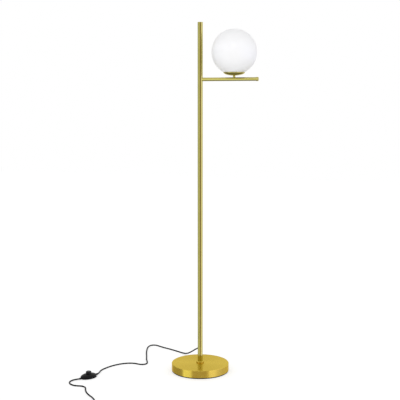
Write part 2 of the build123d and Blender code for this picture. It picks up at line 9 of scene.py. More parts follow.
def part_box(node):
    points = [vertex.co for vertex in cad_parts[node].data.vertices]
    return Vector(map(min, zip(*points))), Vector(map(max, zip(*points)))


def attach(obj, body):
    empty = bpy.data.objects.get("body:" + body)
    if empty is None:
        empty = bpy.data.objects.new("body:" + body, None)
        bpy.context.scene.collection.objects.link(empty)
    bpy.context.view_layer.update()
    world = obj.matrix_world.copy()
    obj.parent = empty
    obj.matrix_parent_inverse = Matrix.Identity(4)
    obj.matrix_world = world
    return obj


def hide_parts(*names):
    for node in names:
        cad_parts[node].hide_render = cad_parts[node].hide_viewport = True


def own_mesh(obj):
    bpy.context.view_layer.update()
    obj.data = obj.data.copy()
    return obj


# A gold-plated globe floor lamp with its cord and foot switch. Metres, in the frame
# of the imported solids: the origin is the middle of the base on the floor, +Z is up
# and +X runs along the arm.

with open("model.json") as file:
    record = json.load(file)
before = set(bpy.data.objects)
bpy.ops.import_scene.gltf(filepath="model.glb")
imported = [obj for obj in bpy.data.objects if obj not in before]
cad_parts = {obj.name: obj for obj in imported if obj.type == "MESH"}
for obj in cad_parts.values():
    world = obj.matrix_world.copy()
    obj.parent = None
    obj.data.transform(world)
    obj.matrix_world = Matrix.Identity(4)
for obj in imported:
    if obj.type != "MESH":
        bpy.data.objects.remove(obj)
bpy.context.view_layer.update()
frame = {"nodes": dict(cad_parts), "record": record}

MM = 0.001
ON_LAMP = "root"


# --- Camera -------------------------------------------------------------------

camera_azimuth = radians(20.0)
camera_distance = 3.80
camera_height = 1.193
camera_tilt = radians(83.42)
camera_turn = radians(20.013)
camera_sees_to = 60.0
image_width_px = 400
focal_px = 889.0
sensor_mm = 36.0

camera_data = bpy.data.cameras.new("camera")
camera_data.sensor_width = sensor_mm
camera_data.lens = sensor_mm * focal_px / image_width_px
camera_data.clip_end = camera_sees_to
camera = bpy.data.objects.new("camera", camera_data)
camera.location = (
    camera_distance * sin(camera_azimuth),
    -camera_distance * cos(camera_azimuth),
    camera_height,
)
camera.rotation_euler = (camera_tilt, 0.0, camera_turn)
bpy.context.scene.collection.objects.link(camera)
bpy.context.scene.camera = camera


# --- Mesh tools ---------------------------------------------------------------
# A shape is a pair: its vertices and its faces.

merge_distance = 1e-7
on_axis = 1e-9


def at_origin(name, data, finish):
    piece = bpy.data.objects.new(name, data)
    bpy.context.scene.collection.objects.link(piece)
    data.materials.append(finish)
    return piece


def finish_mesh(mesh, sharp_deg=32.0):
    """Merge what coincides, turn the faces outwards and shade smooth but for sharp edges."""
    work = bmesh.new()
    work.from_mesh(mesh)
    bmesh.ops.remove_doubles(work, verts=work.verts, dist=merge_distance)
    bmesh.ops.recalc_face_normals(work, faces=work.faces)
    work.to_mesh(mesh)
    work.free()
    for face in mesh.polygons:
        face.use_smooth = True
    mesh.set_sharp_from_angle(angle=radians(sharp_deg))
    return mesh


def new_mesh(name, vertices, faces):
    mesh = bpy.data.meshes.new(name)
    mesh.from_pydata([tuple(v) for v in vertices], [], faces)
    mesh.update()
    return finish_mesh(mesh)


def stand_in(node, name, shape, finish, body=ON_LAMP):
    """A shape as a piece that is shown in place of a CAD node."""
    piece = at_origin(name, new_mesh(name, *shape), finish)
    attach(piece, body)
    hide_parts(node)
    return piece


def around(radius, segments):
    """Points (x, y) on a circle."""
    angles = [2 * pi * k / segments for k in range(segments)]
    return [(radius * cos(angle), radius * sin(angle)) for angle in angles]


def skin(rings, ends=True, loop=False):
    """Shape over a stack of rings that all have as many points."""
    count = len(rings[0])
    vertices = [point for ring in rings for point in ring]
    faces = []
    for row in range(len(rings) if loop else len(rings) - 1):
        here = row * count
        there = ((row + 1) % len(rings)) * count
        for column in range(count):
            after = (column + 1) % count
            faces.append((here + column, here + after, there + after, there + column))
    if ends and not loop:
        last = (len(rings) - 1) * count
        faces.append(tuple(range(count)))
        faces.append(tuple(last + column for column in range(count)))
    return vertices, faces


def rounded(points, radii, steps=6, guard=0.25 * MM):
    """Outline with each corner rounded; a point just outside each arc keeps the flats flat."""
    outline = []
    for index, (point, radius) in enumerate(zip(points, radii)):
        if radius <= 0:
            outline.append(point)
            continue
        corner = Vector(point)
        before = (Vector(points[index - 1]) - corner).normalized()
        after = (Vector(points[(index + 1) % len(points)]) - corner).normalized()
        half_angle = before.angle(after) / 2
        start = corner + before * (radius / tan(half_angle))
        end = corner + after * (radius / tan(half_angle))
        centre = corner + (before + after).normalized() * (radius / sin(half_angle))
        outline.append(tuple(start + before * guard))
        for step in range(steps + 1):
            arm = (start - centre).lerp(end - centre, step / steps).normalized() * radius
            outline.append(tuple(centre + arm))
        outline.append(tuple(end + after * guard))
    return outline


def turned(outline, axis=(0.0, 0.0), segments=96, loop=False):
    """Shape of an outline of (radius, height) turned about a vertical axis."""
    vertices = []
    faces = []
    rows = []
    for radius, height in outline:
        if radius < on_axis:
            rows.append([len(vertices)] * segments)
            vertices.append((axis[0], axis[1], height))
            continue
        rows.append([len(vertices) + step for step in range(segments)])
        vertices += [(axis[0] + x, axis[1] + y, height) for x, y in around(radius, segments)]
    pairs = list(zip(rows, rows[1:])) + ([(rows[-1], rows[0])] if loop else [])
    for low, high in pairs:
        for step in range(segments):
            after = (step + 1) % segments
            corners = dict.fromkeys([low[step], low[after], high[after], high[step]])
            if len(corners) > 2:
                faces.append(tuple(corners))
    return vertices, faces


upright_to_x = Matrix.Rotation(radians(90), 4, "Y")


def moved(shape, matrix):
    vertices, faces = shape
    return [matrix @ Vector(vertex) for vertex in vertices], faces


def box_of(node):
    low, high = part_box(node)
    return Vector(low), Vector(high)


def radius_of(node):
    low, high = box_of(node)
    return (high.y - low.y) / 2


def heights_of(node):
    low, high = box_of(node)
    return low.z, high.z


# --- Materials ----------------------------------------------------------------

# The part of its 0 to 1 range that a noise mostly fills
noise_low = 0.3
noise_high = 0.7


def colour(code):
    """Linear colour of an sRGB hex value."""
    channels = [int(code[i : i + 2], 16) / 255 for i in (1, 3, 5)]
    linear = [c / 12.92 if c <= 0.04045 else ((c + 0.055) / 1.055) ** 2.4 for c in channels]
    return (*linear, 1.0)


def add(tree, kind, settings=None, **links):
    """A node with its settings, and its inputs linked or set by name, or by number as _0."""
    node = tree.nodes.new(kind)
    for name, value in (settings or {}).items():
        setattr(node, name, value)
    for name, value in links.items():
        by_number = name[1:].isdigit()
        socket = node.inputs[int(name[1:]) if by_number else name.replace("_", " ")]
        if isinstance(value, bpy.types.NodeSocket):
            tree.links.new(value, socket)
        else:
            socket.default_value = value
    return node


def new_material(name):
    """A material, its emptied tree and the socket that its surface goes into."""
    made = bpy.data.materials.new(name)
    made.use_nodes = True
    tree = made.node_tree
    tree.nodes.clear()
    return made, tree, add(tree, "ShaderNodeOutputMaterial").inputs["Surface"]


def gold_plate(name, dull, bright, edge, roughness, spun=0.0):
    """Brass-coloured plate, a clear mirror with faint clouds left by the polishing wheel.

    A spun one also has lathe lines round its axis, which draw reflections out across them.
    """
    made, tree, surface = new_material(name)
    place = add(tree, "ShaderNodeTexCoord").outputs["Object"]
    # Clouds about 40 mm across, where the polish is a little uneven
    noise = add(tree, "ShaderNodeTexNoise", None, Vector=place, Scale=25.0, Detail=3.0)
    clouds = noise.outputs["Fac"]
    tint = add(tree, "ShaderNodeMix", {"data_type": "RGBA"},
               _0=clouds, _6=colour(dull), _7=colour(bright))
    gloss = add(tree, "ShaderNodeMapRange", None, Value=clouds, From_Min=noise_low,
                From_Max=noise_high, To_Min=roughness * 0.8, To_Max=roughness * 1.2)
    shader = add(tree, "ShaderNodeBsdfPrincipled", None, Base_Color=tint.outputs[2],
                 Roughness=gloss.outputs[0], Metallic=1.0, Specular_Tint=colour(edge))
    if spun:
        round_axis = add(tree, "ShaderNodeTangent", {"direction_type": "RADIAL", "axis": "Z"})
        tree.links.new(round_axis.outputs["Tangent"], shader.inputs["Tangent"])
        shader.inputs["Anisotropic"].default_value = spun
        # A quarter of a turn lays the lines along the tangent
        shader.inputs["Anisotropic Rotation"].default_value = 0.25
    tree.links.new(shader.outputs["BSDF"], surface)
    return made


def plain(name, code, roughness, grain_scale, grain_depth, spread=0.06, **sockets):
    """A finish with fine grain: colour and gloss vary a little over its surface."""
    made, tree, surface = new_material(name)
    place = add(tree, "ShaderNodeTexCoord").outputs["Object"]
    noise = add(tree, "ShaderNodeTexNoise", None, Vector=place, Scale=grain_scale, Detail=4.0)
    grain = noise.outputs["Fac"]
    base = colour(code)
    darker = (*[c * (1 - spread) for c in base[:3]], 1.0)
    paler = (*[min(1.0, c * (1 + spread)) for c in base[:3]], 1.0)
    shade = add(tree, "ShaderNodeMix", {"data_type": "RGBA"}, _0=grain, _6=darker, _7=paler)
    gloss = add(tree, "ShaderNodeMapRange", None, Value=grain, From_Min=noise_low,
                From_Max=noise_high, To_Min=roughness * 0.85, To_Max=roughness * 1.15)
    bump = add(tree, "ShaderNodeBump", None, Strength=0.3, Distance=grain_depth, Height=grain)
    shader = add(tree, "ShaderNodeBsdfPrincipled", None, Base_Color=shade.outputs[2],
                 Roughness=gloss.outputs[0], Normal=bump.outputs["Normal"], **sockets)
    tree.links.new(shader.outputs["BSDF"], surface)
    return made


# Grain scales are grains in a metre. Real grain is under half a millimetre and would
# not show from the camera, so it is drawn 0.7 to 4 mm coarse.

# Polished plate of the tubes, the dish and the caps: a clear warm mirror
gold = gold_plate("polished_brass_plate", "#b3a95c", "#bdb367", "#fbf8e6", 0.12)
# Lathe-spun plate of the base cover and its collar: reflections fan out from the pole
spun_gold = gold_plate("spun_brass_plate", "#c6aa44", "#cfb54c", "#f8eec0", 0.24, spun=0.95)
# Blown opal glass: white through its thickness, a soft gloss over a satin body, and
# a faint unevenness about 80 mm across
opal = plain("opal_glass", "#f0f0f1", 0.4, 12.0, 0.00005, spread=0.01, Subsurface_Weight=0.2,
             Subsurface_Scale=0.0015, Subsurface_Radius=(1.0, 1.0, 1.0))
# Soft PVC sheath and mouldings: near black with a low sheen
pvc = plain("black_pvc", "#050505", 0.55, 900.0, 0.00008, Specular_IOR_Level=0.12)
# Moulded ABS of the foot switch: black, a little glossier than the sheath
abs_black = plain("black_abs", "#060606", 0.42, 1400.0, 0.00006, Specular_IOR_Level=0.14)
abs_button = plain("charcoal_abs", "#131314", 0.42, 1400.0, 0.00006, Specular_IOR_Level=0.2)
# Moulded rubber foot: matt, a dark line under the base
rubber = plain("black_rubber", "#0e0e0d", 0.7, 600.0, 0.0002, Specular_IOR_Level=0.2)
# Sand-cast iron weight: dull grey with a coarse skin
iron = plain("cast_iron", "#4a4a4c", 0.6, 250.0, 0.0004, Metallic=1.0)
# Zinc-plated steel of nuts, threads and spring: bright grey with a soft shine
zinc = plain("zinc_plated_steel", "#b9babd", 0.3, 800.0, 0.0001, Metallic=1.0)
# Stamped brass contacts: warm, not quite a mirror
brass = plain("stamped_brass", "#c9a95c", 0.28, 700.0, 0.0001, Metallic=1.0)
# Nickel plate of the bulb's cap and the plug's pins: pale and smooth
nickel = plain("nickel_plate", "#cfccc5", 0.2, 700.0, 0.0001, Metallic=1.0)
# Silicone gasket under the globe: milky and soft
silicone = plain("clear_silicone", "#dcdcd8", 0.4, 500.0, 0.0001)
# Pressed thermoset of the lampholder: hard, black and glossy
thermoset = plain("black_thermoset", "#151515", 0.3, 900.0, 0.0001)
# Unglazed steatite core: chalky off-white
steatite = plain("steatite", "#dedacf", 0.6, 500.0, 0.0002)
# Frosted glass of the bulb: white and half matt
frosted = plain("frosted_bulb_glass", "#efeeea", 0.5, 600.0, 0.00005)


# --- Cords --------------------------------------------------------------------

cord_diameter = 0.006
lamp_to_switch_mm = [
    (-18.6, 26.6, 92.8),
    (-34, 48, 82),
    (-57, 85, 65.5),
    (-86, 124, 43),
    (-112, 160, 25),
    (-134, 187, 11),
    (-161, 212, 3.3),
    (-202, 234, 3),
    (-250, 256.5, 3),
    (-296, 274, 3),
    (-334, 297, 3),
    (-360, 285, 3),
    (-357, 243, 3),
    (-341, 197, 3),
    (-323, 152, 3),
    (-302, 106, 3),
    (-284, 62, 3),
    (-265, 28, 3),
    (-254, -2, 3),
    (-275, -21, 3),
    (-316, -9, 3),
    (-356, -29, 3),
    (-385, -69, 3),
    (-401, -115, 3),
    (-407, -158, 3.3),
    (-397, -191, 4.4),
    (-393.5, -216, 6),
]
switch_to_coil_mm = [
    (-434.5, -304, 6),
    (-447, -310, 4.4),
    (-459, -321, 3),
    (-461, -347, 3),
    (-443, -373, 3),
    (-414, -384, 3),
    (-386, -376, 3),
    (-364, -386, 3),
    (-352, -410, 3),
    (-334, -440, 3),
    (-308, -467, 3),
    (-279, -490, 3),
    (-252, -522, 3),
    (-230, -552, 3),
    (-214.4, -574.9, 3),
]
coil_centre_mm = (-242.0, -598.0)
coil_start_angle = 40.0
coil_turn_angle = 1200.0
coil_points_per_turn = 16
coil_outer_mm = 36.0
coil_inner_mm = 30.0
coil_low_mm = 3.0
coil_high_mm = 9.0
# How far round, in degrees, the winding moves in, climbs on itself and moves out
coil_moves_in = (280.0, 350.0)
coil_climbs = (600.0, 680.0)
coil_moves_out = (880.0, 950.0)
tail_mm = 45.0
plug_axis_mm = 6.85


def ease(angle, start, end):
    """0 before start, 1 after end, and a straight change between them."""
    return min(1.0, max(0.0, (angle - start) / (end - start)))


def on_coil(radius, angle, height):
    x, y = coil_centre_mm
    return (x + radius * cos(angle), y + radius * sin(angle), height)


def coil_points_mm():
    """Two turns wide and two high: out to in on the floor, then in to out on top."""
    points = []
    step = 360.0 / coil_points_per_turn
    swell = 1.0 / cos(radians(step / 2))
    turned_by = step
    while turned_by < coil_turn_angle - step / 2:
        inward = ease(turned_by, *coil_moves_in) - ease(turned_by, *coil_moves_out)
        radius = coil_outer_mm + (coil_inner_mm - coil_outer_mm) * inward
        height = coil_low_mm + (coil_high_mm - coil_low_mm) * ease(turned_by, *coil_climbs)
        angle = radians(coil_start_angle - turned_by)
        points.append(on_coil(swell * radius, angle, height))
        turned_by += step
    return points


def tail_points_mm():
    angle = radians(coil_start_angle - coil_turn_angle)
    start = Vector(on_coil(coil_outer_mm, angle, coil_high_mm))
    end = start + Vector((sin(angle), -cos(angle), 0.0)) * tail_mm
    end.z = plug_axis_mm
    return [tuple(start), tuple(start.lerp(end, 0.5)), tuple(end)]


def cord_piece(name, points_mm):
    curve = bpy.data.curves.new(name, "CURVE")
    curve.dimensions = "3D"
    line = curve.splines.new("NURBS")
    line.points.add(len(points_mm) - 1)
    for point, (x, y, z) in zip(line.points, points_mm):
        point.co = (x * MM, y * MM, z * MM, 1.0)
    line.order_u = 3
    line.use_endpoint_u = True
    line.resolution_u = 8
    curve.bevel_depth = cord_diameter / 2
    curve.bevel_resolution = 4
    curve.use_fill_caps = True
    return at_origin(name, curve, pvc)


lamp_cord = cord_piece("cord_from_pole_to_switch", lamp_to_switch_mm)
plug_cord = cord_piece(
    "cord_from_switch_to_plug", switch_to_coil_mm + coil_points_mm() + tail_points_mm()
)


# --- Base ---------------------------------------------------------------------

plated_wall = 1.2 * MM


def make_base_cover():
    low, high = heights_of("base_cover")
    r = radius_of("base_cover")
    wall = 1.0 * MM
    hole = 5.25 * MM
    top_edge = 3.0 * MM
    foot_edge = 0.3 * MM
    hem = 0.2 * MM
    outline = rounded(
        [(r - wall, low), (r, low), (r, high), (hole, high), (hole, high - wall),
         (r - wall, high - wall)],
        [hem, foot_edge, top_edge, hem, hem, top_edge - wall],
    )
    shape = turned(outline, segments=192, loop=True)
    stand_in("base_cover", "base_cover_spun", shape, spun_gold)


def make_base_pad():
    low, high = heights_of("base_pad")
    r = radius_of("base_pad")
    foot_edge = 4.2 * MM
    top_edge = 0.3 * MM
    outline = rounded([(0, low), (r, low), (r, high), (0, high)], [0, foot_edge, top_edge, 0])
    shape = turned(outline, segments=160)
    stand_in("base_pad", "base_pad_rubber", shape, rubber)


def make_pole_collar():
    low, high = heights_of("pole_collar")
    r = radius_of("pole_collar")
    bore = radius_of("pole_lower") + 0.15 * MM
    foot_edge = 0.4 * MM
    top_edge = 2.5 * MM
    bore_edge = 0.3 * MM
    outline = rounded(
        [(bore, low), (r, low), (r, high), (bore, high)],
        [0, foot_edge, top_edge, bore_edge],
    )
    shape = turned(outline, loop=True)
    stand_in("pole_collar", "pole_collar_turned", shape, spun_gold)


# --- Pole ---------------------------------------------------------------------


def make_pole_tubes():
    edge = 0.3 * MM
    for node in ("pole_lower", "pole_middle", "pole_upper"):
        low, high = heights_of(node)
        r = radius_of(node)
        inner_r = r - plated_wall
        outline = rounded(
            [(inner_r, low), (r, low), (r, high), (inner_r, high)], [0, edge, edge, 0], steps=3
        )
        stand_in(node, node + "_plated", turned(outline, loop=True), gold)


def make_pole_cap():
    low, high = heights_of("pole_cap")
    r = radius_of("pole_cap")
    plug_r = r - plated_wall - 0.15 * MM
    seat = heights_of("pole_upper")[1]
    plug_edge = 0.5 * MM
    seat_edge = 0.2 * MM
    top_edge = 0.6 * MM
    outline = rounded(
        [(0, low), (plug_r, low), (plug_r, seat), (r, seat), (r, high), (0, high)],
        [0, plug_edge, 0, seat_edge, top_edge, 0],
        steps=4,
    )
    stand_in("pole_cap", "pole_cap_turned", turned(outline), gold)


# --- Arm and stem -------------------------------------------------------------

arm_r = radius_of("arm_tube")
arm_z = sum(heights_of("arm_tube")) / 2


def make_arm_tube():
    """A tube whose near end is coped to the pole's round."""
    pole_r = radius_of("pole_upper")
    end_x = box_of("arm_tube")[1].x
    past_cope = 3 * MM

    def rings_of(radius):
        circle = around(radius, 72)
        return [
            [(sqrt(pole_r**2 - y**2), y, arm_z + z) for y, z in circle],
            [(pole_r + past_cope, y, arm_z + z) for y, z in circle],
            [(end_x, y, arm_z + z) for y, z in circle],
        ]

    rings = rings_of(arm_r) + rings_of(arm_r - plated_wall)[::-1]
    stand_in("arm_tube", "arm_tube_coped", skin(rings, loop=True), gold)


def make_arm_end_cap():
    low, high = box_of("arm_end_cap")
    r = radius_of("arm_end_cap")
    bore = arm_r + 0.05 * MM
    face = 2.0 * MM
    mouth_edge = 0.2 * MM
    back_edge = 0.5 * MM
    face_edge = 1.2 * MM
    outline = rounded(
        [(0, high.x - face), (bore, high.x - face), (bore, low.x), (r, low.x), (r, high.x),
         (0, high.x)],
        [0, 0, mouth_edge, back_edge, face_edge, 0],
    )
    onto_arm = Matrix.Translation((0, 0, arm_z)) @ upright_to_x
    shape = moved(turned(outline, segments=72), onto_arm)
    stand_in("arm_end_cap", "arm_end_cap_turned", shape, gold)


def make_stem_sleeve():
    """A short tube whose foot is coped to the arm's round."""
    low, high = box_of("stem_sleeve")
    stem_x = (low.x + high.x) / 2
    bore = 4.15 * MM
    arm_gap = 0.03 * MM

    def rings_of(radius):
        circle = around(radius, 48)
        return [
            [(stem_x + x, y, arm_z + sqrt((arm_r + arm_gap) ** 2 - y**2)) for x, y in circle],
            [(stem_x + x, y, high.z) for x, y in circle],
        ]

    rings = rings_of(radius_of("stem_sleeve")) + rings_of(bore)[::-1]
    stand_in("stem_sleeve", "stem_sleeve_turned", skin(rings, loop=True), gold)


# --- Dish and globe -----------------------------------------------------------


def make_dish():
    """A shallow bowl of an even wall: a flat floor and an elliptical side."""
    low, high = box_of("dish")
    stem_x = (low.x + high.x) / 2
    rim_r = radius_of("dish")
    bore = 4.25 * MM
    curve_below = 0.3 * MM
    guard = 0.3 * MM
    steps = 28

    def bowl(radius, depth, floor_z):
        flat_r = radius * sqrt(1 - ((high.z - floor_z) / depth) ** 2)
        start = acos(flat_r / radius)
        angles = [start * (1 - step / steps) for step in range(steps + 1)]
        return [(radius * cos(angle), high.z - depth * sin(angle)) for angle in angles]

    floor_top = low.z + plated_wall
    depth = high.z - low.z + curve_below
    outside = bowl(rim_r, depth, low.z)
    inside = bowl(rim_r - plated_wall, depth - plated_wall, floor_top)
    outline = [(bore, low.z), (outside[0][0] - guard, low.z)] + outside
    outline += inside[::-1] + [(inside[0][0] - guard, floor_top), (bore, floor_top)]
    shape = turned(outline, axis=(stem_x, 0), loop=True, segments=128)
    stand_in("dish", "dish_spun", shape, gold)


def make_globe():
    low, high = box_of("globe_glass")
    stem_x = (low.x + high.x) / 2
    outer_r = 95.0 * MM
    wall = 3.0 * MM
    mouth_r = 33.13 * MM
    centre_z = high.z - outer_r
    steps = 72

    def arc(radius):
        """From the mouth up to the crown."""
        foot = -acos(mouth_r / radius)
        angles = [foot + (pi / 2 - foot) * step / steps for step in range(steps)]
        points = [(radius * cos(angle), centre_z + radius * sin(angle)) for angle in angles]
        return points + [(0.0, centre_z + radius)]

    outline = arc(outer_r - wall)[::-1] + arc(outer_r)
    shape = turned(outline, axis=(stem_x, 0), segments=144)
    stand_in("globe_glass", "globe_blown", shape, opal, body="globe")


# --- Foot switch --------------------------------------------------------------

switch_at = Vector((-0.414, -0.260, 0.0))
switch_turn = radians(65.0)
to_switch = Matrix.Translation(switch_at) @ Matrix.Rotation(switch_turn, 4, "Z")
switch_half_length = 38.5 * MM
switch_half_width = 27.0 * MM
switch_wall = 2.0 * MM
switch_split = 7.0 * MM
switch_top = 20.0 * MM
seam_gap = 0.02 * MM
seam_bevel = 0.45 * MM
button_r = 12.0 * MM
cord_height = 6.0 * MM
switch_segments = 112
switch_angles = [2 * pi * k / switch_segments for k in range(switch_segments)]


def oval_reach(angle, inset=0.0):
    """From the switch's middle to its edge, which is an ellipse in plan."""
    a = switch_half_length - inset
    b = switch_half_width - inset
    return a * b / hypot(b * cos(angle), a * sin(angle))


def make_switch_upper():
    """A domed shell with a round hole for the button."""
    hole_r = button_r + 0.25 * MM
    hole_lip = 0.5 * MM
    steps = 26

    def dome_ring(share, inset):
        """A ring at a share of the way from the hole to the edge."""
        ring = []
        a = switch_half_length - inset
        b = switch_half_width - inset
        rise = switch_top - switch_split - inset
        for angle in switch_angles:
            reach = hole_r + (oval_reach(angle, inset) - hole_r) * share
            x = reach * cos(angle)
            y = reach * sin(angle)
            inside = max(0.0, 1 - (x / a) ** 2 - (y / b) ** 2)
            ring.append((x, y, switch_split + rise * sqrt(inside)))
        return ring

    shares = [sin(pi / 2 * step / steps) for step in range(steps + 1)]
    outer = [dome_ring(share, 0.0) for share in shares[::-1]]
    edge, top = outer[0], outer[-1]
    # Where the two shells meet, the edges step back so that a fine line shows
    seam_share = 0.99
    seam = [(x * seam_share, y * seam_share, switch_split + seam_gap) for x, y, z in edge]
    start = [(x, y, z + seam_bevel) for x, y, z in edge]
    wider = 1 + hole_lip / hole_r
    lip = [(x * wider, y * wider, z) for x, y, z in top]
    below_lip = [(x, y, z - hole_lip) for x, y, z in top]
    inner = [dome_ring(share, switch_wall) for share in shares]
    rings = [seam, start] + outer[1:-1] + [lip, below_lip] + inner
    shape = moved(skin(rings, loop=True), to_switch)
    return stand_in("switch_upper", "switch_upper_shell", shape, abs_black)


def make_switch_lower():
    foot = 1.0 * MM
    floor_top = 3.0 * MM
    edge = 2.0 * MM
    foot_inset = 6.0 * MM
    seam_inset = 0.35 * MM
    edge_steps = 6

    def flat_ring(inset, height):
        reaches = [(angle, oval_reach(angle, inset)) for angle in switch_angles]
        return [(reach * cos(angle), reach * sin(angle), height) for angle, reach in reaches]

    rings = [flat_ring(foot_inset, foot)]
    for step in range(edge_steps + 1):
        turn = pi / 2 * step / edge_steps
        rings.append(flat_ring(edge * (1 - sin(turn)), foot + edge * (1 - cos(turn))))
    rings.append(flat_ring(0.0, switch_split - seam_bevel))
    rings.append(flat_ring(seam_inset, switch_split - seam_gap))
    rings.append(flat_ring(switch_wall, switch_split - seam_gap))
    rings.append(flat_ring(switch_wall, floor_top))
    shape = moved(skin(rings), to_switch)
    return stand_in("switch_lower", "switch_lower_shell", shape, abs_black)


def make_switch_button():
    """A cap that is hollow below, with a flange that keeps it in the shell."""
    low, high = heights_of("switch_button")
    flange_top = 13.7 * MM
    flange_r = button_r + 2.0 * MM
    bore = button_r - 2.0 * MM
    roof = high - 2.0 * MM
    dip = 0.8 * MM
    roof_edge = 0.5 * MM
    foot_edge = 0.2 * MM
    flange_edge = 0.3 * MM
    top_edge = 3.8 * MM
    outline = rounded(
        [(0, roof), (bore, roof), (bore, low), (flange_r, low), (flange_r, flange_top),
         (button_r, flange_top), (button_r, high), (0, high - dip)],
        [0, roof_edge, foot_edge, flange_edge, flange_edge, flange_edge, top_edge, 0],
    )
    shape = turned(outline, axis=(switch_at.x, switch_at.y), segments=72)
    return stand_in("switch_button", "switch_button_moulded", shape, abs_button,
                    body="foot_button")


def make_switch_spring():
    """The coil spring under the button, at its rest length."""
    low, high = box_of("switch_spring")
    axis_x, axis_y = (low.x + high.x) / 2, (low.y + high.y) / 2
    wire_r = 0.5 * MM
    coil_r = (high.x - low.x) / 2 - wire_r
    bottom, top = low.z + wire_r, high.z - wire_r
    turns = 4
    steps = 96
    up = Vector((0.0, 0.0, 1.0))
    rings = []
    for step in range(steps + 1):
        angle = 2 * pi * turns * step / steps
        out = Vector((cos(angle), sin(angle), 0.0))
        height = bottom + (top - bottom) * step / steps
        centre = Vector((axis_x, axis_y, height)) + out * coil_r
        rings.append([centre + out * x + up * y for x, y in around(wire_r, 10)])
    spring = stand_in("switch_spring", "switch_spring_wound", skin(rings), zinc)
    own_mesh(spring)


def grooved(length, root_r, tip_r, ribs, groove, tip_edge=0.4 * MM):
    """Outline of a tapered strain relief with rings cut round it."""
    outline = [(0, 0), (root_r, 0)]
    pitch = length / (ribs + 0.5)
    first = 0.35
    cut = ((0.0, 0.0), (0.15, groove), (0.45, groove), (0.6, 0.0))
    for rib in range(ribs):
        for share, depth in cut:
            along = pitch * (rib + first + share)
            outline.append((root_r + (tip_r - root_r) * along / length - depth, along))
    return outline + [(tip_r, length - tip_edge), (tip_r - tip_edge, length), (0, length)]


def make_nubs():
    """The two cord grips, which stick out of the switch's ends."""
    start = 37.0 * MM
    end = 48.5 * MM
    outline = grooved(end - start, root_r=4.6 * MM, tip_r=3.8 * MM, ribs=3, groove=0.45 * MM)
    shape = turned(outline, segments=48)
    made = []
    for node, side in (("switch_nub_lamp", 0.0), ("switch_nub_plug", pi)):
        out = Matrix.Rotation(side, 4, "Z") @ Matrix.Translation((start, 0, cord_height))
        placed = moved(shape, to_switch @ out @ upright_to_x)
        made.append(stand_in(node, node + "_moulded", placed, pvc))
    return made


# --- The pieces in place ------------------------------------------------------

make_base_cover()
make_base_pad()
make_pole_collar()
make_pole_tubes()
make_pole_cap()
make_arm_tube()
make_arm_end_cap()
make_stem_sleeve()
make_dish()
make_globe()
switch_pieces = [make_switch_upper(), make_switch_lower(), make_switch_button()]
make_switch_spring()
nubs = make_nubs()

finishes = {
    "gold_plate": gold,
    "opal_glass": opal,
    "black_rubber": rubber,
    "cast_iron": iron,
    "zinc_steel": zinc,
    "clear_silicone": silicone,
    "holder_plastic": thermoset,
    "holder_ceramic": steatite,
    "contact_brass": brass,
    "bulb_cap_nickel": nickel,
    "bulb_glass_frosted": frosted,
    "black_pvc": pvc,
    "pin_nickel": nickel,
    "black_plastic": abs_black,
    "button_plastic": abs_button,
}
for part in frame["record"]["subparts"]:
    solid = frame["nodes"].get(part["node"])
    if solid is not None and solid.type == "MESH":
        solid.data.materials.clear()
        solid.data.materials.append(finishes[part["material_slot"]])

boot = frame["nodes"]["cord_boot"]
# The base's spun plate shows no reflection of the thin cord beside it
lamp_cord.visible_glossy = False
boot.visible_glossy = False

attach(lamp_cord, ON_LAMP)
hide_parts("cord_lamp_side")
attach(plug_cord, ON_LAMP)
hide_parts("cord_plug_side", "cord_coil", "cord_tail")


# --- Floor and light ----------------------------------------------------------

white = (1, 1, 1, 1)


def make_floor():
    """White floor: it keeps the lamp's shadow and is as white as the background beyond it."""
    half = 9.0
    corners = [(-half, -half, 0), (half, -half, 0), (half, half, 0), (-half, half, 0)]
    mesh = bpy.data.meshes.new("floor")
    mesh.from_pydata(corners, [], [(0, 1, 2, 3)])
    made, tree, surface = new_material("white_floor")
    path = add(tree, "ShaderNodeLightPath")
    # What the floor sends up to the lamp is stronger than what the camera sees of it
    shade = add(tree, "ShaderNodeMapRange", None, Value=path.outputs["Is Diffuse Ray"],
                To_Min=0.6, To_Max=0.9).outputs[0]
    grey = add(tree, "ShaderNodeCombineColor", None, Red=shade, Green=shade, Blue=shade)
    paper = add(tree, "ShaderNodeBsdfDiffuse", None, Color=grey.outputs[0])
    lift = add(tree, "ShaderNodeMath", {"operation": "MULTIPLY"},
               _0=path.outputs["Is Camera Ray"], _1=0.52)
    glow = add(tree, "ShaderNodeEmission", None, Color=white, Strength=lift.outputs[0])
    both = add(tree, "ShaderNodeAddShader", None, _0=paper.outputs[0], _1=glow.outputs[0])
    tree.links.new(both.outputs[0], surface)
    floor = at_origin("floor", mesh, made)
    floor.visible_glossy = False


